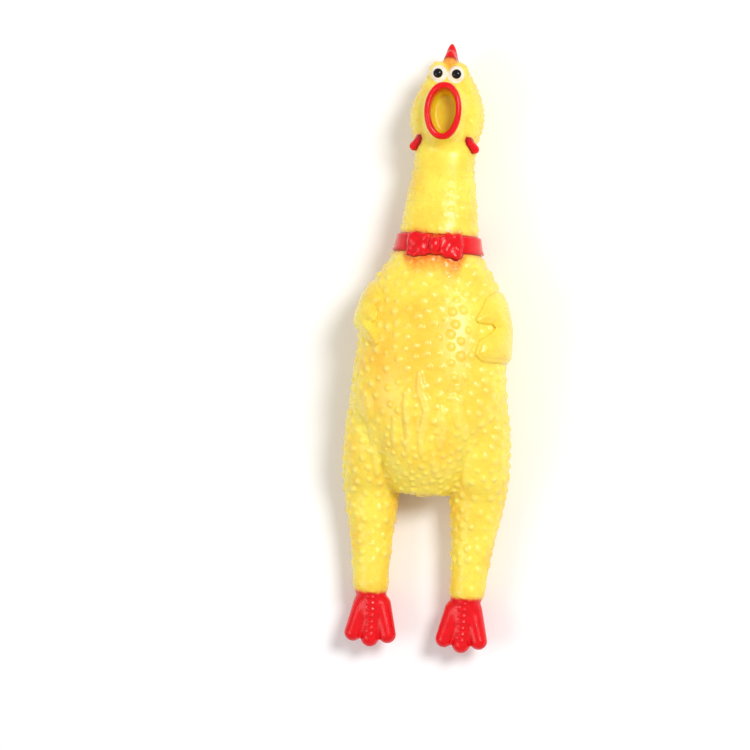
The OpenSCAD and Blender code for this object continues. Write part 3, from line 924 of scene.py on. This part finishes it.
def painted_edge_shade(red):
    """Share of the darker red painted along the edges of the painted trims: painted shade where the raised
    trims meet the skin.
    """
    painted, y = red > 0.5, skin.points[:, 1]
    tree = tree_of(skin.points[~painted & (y > TRIMS_FROM_Y)])
    outline = np.zeros(len(red))
    rows = np.nonzero(painted & (y > TRIMS_FROM_Y))[0]
    gap = np.array([tree.find(skin.points[i])[2] for i in rows])
    outline[rows] = np.exp(-(np.maximum(gap - EDGE_SHADE_START, 0) / EDGE_SHADE_WIDTH) ** 2)
    return outline


label = label_pieces()
skin.columns["red"], skin.columns["stray"] = paint_columns()
# The outline column holds painted shade along the edges of the painted trims
skin.columns["outline"] = painted_edge_shade(skin.columns["red"])
skin.columns["tone_and_shade"] = deep_tone_and_low_shade()


# ---- materials

def linear(red, green, blue):
    """Colour for a socket, from the 0 to 255 values that a screen shows."""
    return tuple(c / 12.92 if c <= 0.04045 else ((c + 0.055) / 1.055) ** 2.4
                 for c in (red / 255, green / 255, blue / 255)) + (1.0,)


LEMON, AMBER, HIGHLIGHT_YELLOW = linear(255, 228, 82), linear(250, 186, 44), linear(255, 238, 140)
ORANGE = linear(246, 120, 30)
RED, DARK_RED, SHADE_RED = linear(236, 12, 24), linear(205, 4, 14), linear(140, 2, 20)
WHITE, IVORY = linear(246, 232, 212), linear(232, 214, 190)
YOLK, DEEP_YOLK = linear(255, 214, 30), linear(255, 202, 28)
BLACK, SOOT = linear(8, 7, 9), linear(22, 18, 20)
PAPER = linear(252, 252, 252), linear(247, 247, 247)


class Nodes:
    """Shorthand for building one material's nodes."""

    def __init__(self, name):
        self.material = bpy.data.materials.new(name)
        self.material.use_nodes = True
        self.tree = self.material.node_tree
        self.shader = self.tree.nodes["Principled BSDF"]

    def add(self, kind, sockets=None, **settings):
        """A node with its sockets given plain values, or linked to other nodes."""
        node = self.tree.nodes.new(kind)
        for key, value in settings.items():
            setattr(node, key, value)
        for key, value in (sockets or {}).items():
            self.feed(value, node.inputs[key])
        return node

    def feed(self, value, socket):
        if isinstance(value, (tuple, float)):
            socket.default_value = value
        else:
            self.tree.links.new(value, socket)

    def set(self, **values):
        for name, value in values.items():
            self.feed(value, self.shader.inputs[name.replace("_", " ")])

    def place(self):
        """The point's place at rest, in millimetres."""
        return self.add("ShaderNodeAttribute", attribute_name="rest").outputs["Vector"]

    def noise(self, place, scale, detail=2.0, rough=0.5):
        sockets = {"Vector": place, "Scale": scale, "Detail": detail, "Roughness": rough}
        return self.add("ShaderNodeTexNoise", sockets).outputs["Fac"]

    def ramp(self, value, low, high, out_low=0.0, out_high=1.0):
        sockets = {"Value": value, "From Min": low, "From Max": high, "To Min": out_low, "To Max": out_high}
        return self.add("ShaderNodeMapRange", sockets, clamp=True).outputs["Result"]

    def mix(self, factor, first, second):
        return self.add("ShaderNodeMix", {0: factor, 6: first, 7: second}, data_type="RGBA").outputs[2]

    def product(self, first, second):
        return self.math("MULTIPLY", first, second)

    def math(self, operation, first, second):
        sockets = {0: first, 1: second}
        return self.add("ShaderNodeMath", sockets, operation=operation, use_clamp=True).outputs[0]

    def bump(self, height, strength, distance):
        sockets = {"Height": height, "Strength": strength, "Distance": distance}
        self.set(Normal=self.add("ShaderNodeBump", sockets).outputs["Normal"])

    def value_of(self, name):
        return self.add("ShaderNodeAttribute", attribute_name=name).outputs["Fac"]


def moulded_vinyl():
    """Soft glossy yellow vinyl with sprayed red paint, stray orange at its edges and a fine skin texture,
    with painted shade low on the sides and along the trims' edges, and a painted highlight on the goose
    bumps.
    """
    n = Nodes("moulded_vinyl")
    place = n.place()
    clouds = n.ramp(n.noise(place, 0.12, 3.0), 0.3, 0.7, -0.3, 0.3)
    # Deeper yellow in random clouds, more on the belly's crown, and as painted shade low on the sides
    yellow = n.mix(n.math("ADD", clouds, n.value_of("tone_and_shade")), LEMON, AMBER)
    mottled = n.ramp(n.noise(place, 0.55, 4.0, 0.6), 0.50, 0.72, 0.0, 0.35)
    yellow = n.mix(mottled, yellow, AMBER)
    # Painted highlight: paler yellow on the tops of the goose bumps and folds
    bump_highlight = n.product(n.ramp(n.value_of("lift"), 0.05, 0.5), 0.4)
    yellow = n.mix(bump_highlight, yellow, HIGHLIGHT_YELLOW)
    patchy = n.ramp(n.noise(place, 0.9, 3.0), 0.3, 0.6, 0.55, 1.0)
    sprayed = n.mix(n.product(n.value_of("stray"), patchy), yellow, ORANGE)
    red = n.mix(n.ramp(n.noise(place, 0.6, 3.0), 0.4, 0.7, 0.0, 0.45), RED, DARK_RED)
    # Painted shade: the outline column darkens the red along the trims' edges
    red = n.mix(n.product(n.value_of("outline"), 0.9), red, SHADE_RED)
    painted = n.value_of("red")
    n.set(Base_Color=n.mix(painted, sprayed, red))
    worn = n.ramp(n.noise(place, 1.3, 3.0), 0.3, 0.7, 0.24, 0.36)
    n.set(Roughness=n.product(worn, n.ramp(painted, 0.0, 1.0, 1.0, 0.62)))
    n.set(Specular_IOR_Level=n.ramp(painted, 0.0, 1.0, 0.5, 0.28))
    n.set(IOR=1.48, Subsurface_Weight=0.22, Subsurface_Radius=(1.0, 0.55, 0.12), Subsurface_Scale=0.0016)
    n.set(Coat_Weight=0.12, Coat_Roughness=0.15)
    n.bump(n.noise(place, 3.2, 3.0, 0.6), 0.22, 0.00025)
    return n.material


def plain_surface(name, colours, scales, gloss, grain, detail=3.0, spread=(0.0, 1.0), on_cad=False,
                  **settings):
    """Two mottled colours, patchy gloss and a fine grain, each with its own scale of noise."""
    n = Nodes(name)
    place = n.add("ShaderNodeTexCoord").outputs["Object"] if on_cad else n.place()
    mottle = n.ramp(n.noise(place, scales[0], detail), *spread)
    n.set(Base_Color=n.mix(mottle, *colours), Roughness=n.ramp(n.noise(place, scales[1]), 0.3, 0.7, *gloss))
    n.bump(n.noise(place, scales[2], detail), *grain)
    n.set(**settings)
    return n.material


def mouth_vinyl():
    """Bare vinyl of the throat, lit through the thin walls of the head, with red stray paint at the rim."""
    n = Nodes("mouth_vinyl")
    place = n.place()
    yellow = n.mix(n.ramp(n.noise(place, 0.4, 3.0), 0.4, 0.7), YOLK, DEEP_YOLK)
    sprayed = n.mix(n.value_of("stray"), yellow, ORANGE)
    n.set(Base_Color=n.mix(n.value_of("red"), sprayed, RED))
    n.set(Roughness=n.ramp(n.noise(place, 1.3, 3.0), 0.3, 0.7, 0.3, 0.42))
    n.set(IOR=1.48, Subsurface_Weight=0.6, Subsurface_Radius=(1.0, 0.6, 0.12), Subsurface_Scale=0.004)
    n.bump(n.noise(place, 3.2, 3.0, 0.6), 0.22, 0.00025)
    return n.material


VINYL, MOUTH_VINYL = moulded_vinyl(), mouth_vinyl()
EYE_PAINT = plain_surface("eye_paint", (WHITE, IVORY), (0.8, 2.0, 3.0), (0.24, 0.34), (0.2, 0.0002),
                          spread=(0.45, 0.75))
PUPIL_PAINT = plain_surface("pupil_paint", (BLACK, SOOT), (1.5, 3.0, 4.0), (0.10, 0.2), (0.1, 0.0001),
                            detail=2.0, Specular_IOR_Level=0.3)
# The squeaker's parts lie inside the head
HIDDEN = {"scales": (400.0, 900.0, 2500.0), "grain": (0.15, 0.0001), "on_cad": True}
PLASTIC_COLOURS = linear(232, 232, 226), linear(210, 208, 198)
REED_COLOURS = linear(206, 214, 214), linear(184, 196, 198)
SQUEAKER = plain_surface("squeaker_plastic", PLASTIC_COLOURS, gloss=(0.32, 0.45), **HIDDEN)
REED = plain_surface("reed_film", REED_COLOURS, gloss=(0.12, 0.22), **HIDDEN)
SLEEVE = plain_surface("sleeve_vinyl", (LEMON, AMBER), gloss=(0.3, 0.45), **HIDDEN)


# ---- pieces

def add_mesh(name, points, triangles, normals, columns, material):
    """A mesh object from millimetre points, with its normals and value columns."""
    mesh = bpy.data.meshes.new(name)
    mesh.vertices.add(len(points))
    mesh.vertices.foreach_set("co", (points * MM).ravel())
    mesh.loops.add(3 * len(triangles))
    mesh.loops.foreach_set("vertex_index", triangles.ravel())
    mesh.polygons.add(len(triangles))
    mesh.polygons.foreach_set("loop_start", np.arange(0, 3 * len(triangles), 3))
    mesh.update(calc_edges=True)
    mesh.polygons.foreach_set("use_smooth", np.ones(len(triangles), bool))
    for key, values in columns.items():
        kind = "FLOAT_VECTOR" if values.ndim == 2 else "FLOAT"
        layer = mesh.attributes.new(key, kind, "POINT")
        layer.data.foreach_set("vector" if values.ndim == 2 else "value", values.astype(np.float32).ravel())
    mesh.validate()
    if normals is not None:
        mesh.normals_split_custom_set_from_vertices(normals)
    mesh.materials.append(material)
    piece = bpy.data.objects.new(name, mesh)
    bpy.context.scene.collection.objects.link(piece)
    return piece


def rim_edges(triangles):
    """Directed edges that only one triangle has."""
    edges = np.vstack([triangles[:, [0, 1]], triangles[:, [1, 2]], triangles[:, [2, 0]]])
    count = int(triangles.max()) + 1
    keys = edges[:, 0] * count + edges[:, 1]
    back = edges[:, 1] * count + edges[:, 0]
    return edges[~np.isin(keys, back)]


def walled(name, chosen, wall, material):
    """A closed piece from some of the skin's triangles: outside, inside and the rims between them."""
    used, index = np.unique(skin.triangles[chosen], return_inverse=True)
    outer = index.reshape(-1, 3)
    count = len(used)
    points, normals = skin.points[used], skin.columns["normal"][used]
    normals = normals / np.maximum(np.linalg.norm(normals, axis=1), 1e-9)[:, None]
    edges = rim_edges(outer)
    a, b = edges.T
    strips = np.vstack([np.column_stack([b, a, a + count]), np.column_stack([b, a + count, b + count])])
    inner = outer[:, ::-1] + count
    all_points = np.vstack([points, points - normals * wall])
    all_normals = np.vstack([normals, -normals])
    columns = {"rest": np.tile(skin.columns["base"][used], (2, 1))}
    for key in ("red", "stray", "outline", "lift", "tone_and_shade"):
        columns[key] = np.tile(skin.columns[key][used], 2)
    return add_mesh(name, all_points, np.vstack([outer, inner, strips]), all_normals, columns, material)


# Thickness of the pieces that are thinner than WALL
THIN = {"head": 1.2, "leg": 1.2, "foot": 0.9, "collar": 0.8, "wing": 0.6, "bow_tie": 0.5, "mouth": 0.5,
        "eye": 0.5, "comb": 0.4, "beak_rim": 0.4, "wattle": 0.35}


def build_pieces():
    """Makes each piece of the skin, and ties those that ride on one body to it."""
    def piece(name, wall, slot, nodes, material=VINYL):
        obj = walled(name, label == name, wall, material)
        if nodes:
            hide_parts(*nodes)
        return obj

    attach(piece("torso_skin_back", WALL, "yellow_vinyl", ("torso_skin", "crotch_web")), "torso")
    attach(piece("rump_skin", WALL, "yellow_vinyl", ()), "torso")
    belly = piece("belly_skin", WALL, "yellow_vinyl", ("belly_panel", "belly_flex"))
    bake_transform(belly)
    chest = piece("chest_skin", WALL, "yellow_vinyl", ())
    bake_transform(chest)
    lower = piece("lower_belly_skin", WALL, "yellow_vinyl", ())
    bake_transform(lower)
    for name, _, _, inner, outer, (start, end), nodes in NECK_ZONES:
        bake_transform(piece(name, WALL, "yellow_vinyl", nodes))
    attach(piece("collar_skin", THIN["collar"], "red_paint", ("collar_band",)), "torso")
    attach(piece("bow_tie_skin", THIN["bow_tie"], "red_paint", ("bow_tie",)), "torso")
    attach(piece("head_skin_face", THIN["head"], "yellow_vinyl", ("head_skin",)), "head")
    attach(piece("comb_skin", THIN["comb"], "red_paint", ("comb",)), "head")
    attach(piece("beak_rim_skin", THIN["beak_rim"], "red_paint", ("beak_rim",)), "head")
    lining = piece("mouth_skin", THIN["mouth"], "yellow_vinyl", ("mouth_lining",), MOUTH_VINYL)
    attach(lining, "head")
    for side, _ in SIDES:
        wing_piece = piece(f"{side}_wing_skin", THIN["wing"], "yellow_vinyl", (f"{side}_wing",))
        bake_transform(wing_piece)
        lappet = piece(f"{side}_wattle_skin", THIN["wattle"], "red_paint", (f"{side}_wattle",))
        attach(lappet, "head")
        eye = piece(f"{side}_eye_white", THIN["eye"], "white_paint", (f"{side}_eye",), EYE_PAINT)
        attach(eye, "head")
        for name, _, _, inner, outer, (start, end), nodes in LEG_ZONES:
            hidden = [f"{side}_{node}" for node in nodes]
            zone = piece(f"{side}_{name}", THIN["leg"], "yellow_vinyl", hidden)
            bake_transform(zone)
        sole = piece(f"{side}_foot_skin", THIN["foot"], "red_paint", (f"{side}_foot",))
        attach(sole, f"{side}_foot")


PUPIL_RINGS, PUPIL_SPOKES = 14, 40
PUPIL_RISE, PUPIL_DEPTH = 0.34, 0.5  # how far it bulges, and how far its underside is sunk


def pupil(side):
    """Glossy dome of black paint that follows the eye's bulge."""
    low, high = box(f"{side}_pupil")
    centre, radius = middle(f"{side}_pupil"), (high[0] - low[0]) / 2
    reach = np.repeat(np.arange(PUPIL_RINGS + 1) / PUPIL_RINGS, PUPIL_SPOKES)
    turn = np.tile(2 * math.pi * np.arange(PUPIL_SPOKES) / PUPIL_SPOKES, PUPIL_RINGS + 1)
    on_eye = np.column_stack([centre[0] + radius * reach * np.cos(turn),
                              centre[1] + radius * reach * np.sin(turn),
                              np.full(len(turn), high[2] + 2.0)])
    for _ in range(60):  # lets the points down onto the eye
        on_eye[:, 2] -= field(*on_eye.T) * 0.8
    bulge = PUPIL_RISE * np.sqrt(np.clip(1 - reach ** 2.6, 0, 1)) - 0.02
    points = np.vstack([on_eye + np.outer(bulge, (0, 0, 1)), on_eye - (0, 0, PUPIL_DEPTH)])
    under, triangles = len(turn), []
    for k, j in itertools.product(range(PUPIL_RINGS), range(PUPIL_SPOKES)):
        a, b = k * PUPIL_SPOKES + j, k * PUPIL_SPOKES + (j + 1) % PUPIL_SPOKES
        c, d = a + PUPIL_SPOKES, b + PUPIL_SPOKES
        if k:
            triangles += [(a, c, b), (under + a, under + b, under + c)]
        triangles += [(b, c, d), (under + b, under + d, under + c)]
        if k == PUPIL_RINGS - 1:
            triangles += [(c, under + c, d), (d, under + c, under + d)]
    obj = add_mesh(f"{side}_pupil_dome", points, np.array(triangles), None, {"rest": points}, PUPIL_PAINT)
    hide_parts(f"{side}_pupil")
    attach(obj, "head")


def repaint(node, material):
    """Gives a CAD node that stays visible its finished material."""
    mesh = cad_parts[node].data
    mesh.materials.clear()
    mesh.materials.append(material)


build_pieces()
for side, _ in SIDES:
    pupil(side)
for node in ("squeaker_barrel", "reed_block", "squeaker_cap"):
    repaint(node, SQUEAKER)
repaint("squeaker_reed", REED)
repaint("squeaker_sleeve", SLEEVE)


# ---- floor, light and camera

def lay_floor():
    """White sheet under the toy, which only the pictures need."""
    mesh = bpy.data.meshes.new("floor")
    half = 3.0
    corners = [(-half, -half, 0), (half, -half, 0), (half, half, 0), (-half, half, 0)]
    mesh.from_pydata(corners, [], [(0, 1, 2, 3)])
    n = Nodes("floor_paper")
    place = n.add("ShaderNodeTexCoord").outputs["Object"]
    n.set(Base_Color=n.mix(n.noise(place, 6.0), *PAPER), Roughness=0.9)
    mesh.materials.append(n.material)
    floor = bpy.data.objects.new("floor", mesh)
    floor.location.z = -0.0002
    bpy.context.scene.collection.objects.link(floor)


def add_area(name, place, size, watts):
    """Soft box that faces the middle of the toy."""
    data = bpy.data.lights.new(name, "AREA")
    data.shape = "DISK"
    data.size = size
    data.energy = watts
    lamp = bpy.data.objects.new(name, data)
    lamp.location = place
    lamp.rotation_euler = (Vector((0, 0, 0.015)) - Vector(place)).to_track_quat("-Z", "Y").to_euler()
    bpy.context.scene.collection.objects.link(lamp)


def light_scene():
    """Even white surroundings, a soft key light and a weak fill."""
    world = bpy.data.worlds.new("studio")
    world.use_nodes = True
    background = world.node_tree.nodes["Background"]
    background.inputs[0].default_value = (1.0, 1.0, 1.0, 1.0)
    background.inputs[1].default_value = 0.5
    bpy.context.scene.world = world
    add_area("key", (0.46, 0.32, 0.88), 0.35, 6.8)
    add_area("fill", (-0.6, -0.2, 0.7), 0.5, 2.0)


FRAME_WIDTH = 0.210  # metres across the picture at the toy
LENS, SENSOR = 180.0, 36.0
HEAD_LEAN = math.radians(3.7)  # the toy leans right in the picture
CAMERA_YAW = math.radians(7.0)  # the camera stands a little to the toy's right
TOY_SHIFT = (0.016, 0.0076)  # how far right and up the toy's middle sits


def set_camera():
    """Long lens over the toy, turned and shifted so that it sits as in the photo."""
    data = bpy.data.cameras.new("camera")
    data.lens, data.sensor_width = LENS, SENSOR
    distance = FRAME_WIDTH * LENS / SENSOR
    back = Vector((math.sin(CAMERA_YAW), 0, math.cos(CAMERA_YAW)))
    up = Vector((-math.sin(HEAD_LEAN), math.cos(HEAD_LEAN), 0))
    right = up.cross(back).normalized()
    up = back.cross(right).normalized()
    target = Vector((0, 0, 0.014)) - right * TOY_SHIFT[0] - up * TOY_SHIFT[1]
    camera = bpy.data.objects.new("camera", data)
    turn = Matrix((right, up, back)).transposed()
    camera.matrix_world = Matrix.Translation(target + back * distance) @ turn.to_4x4()
    bpy.context.scene.collection.objects.link(camera)
    bpy.context.scene.camera = camera


lay_floor()
light_scene()
set_camera()
bpy.context.scene.view_settings.view_transform = "Standard"
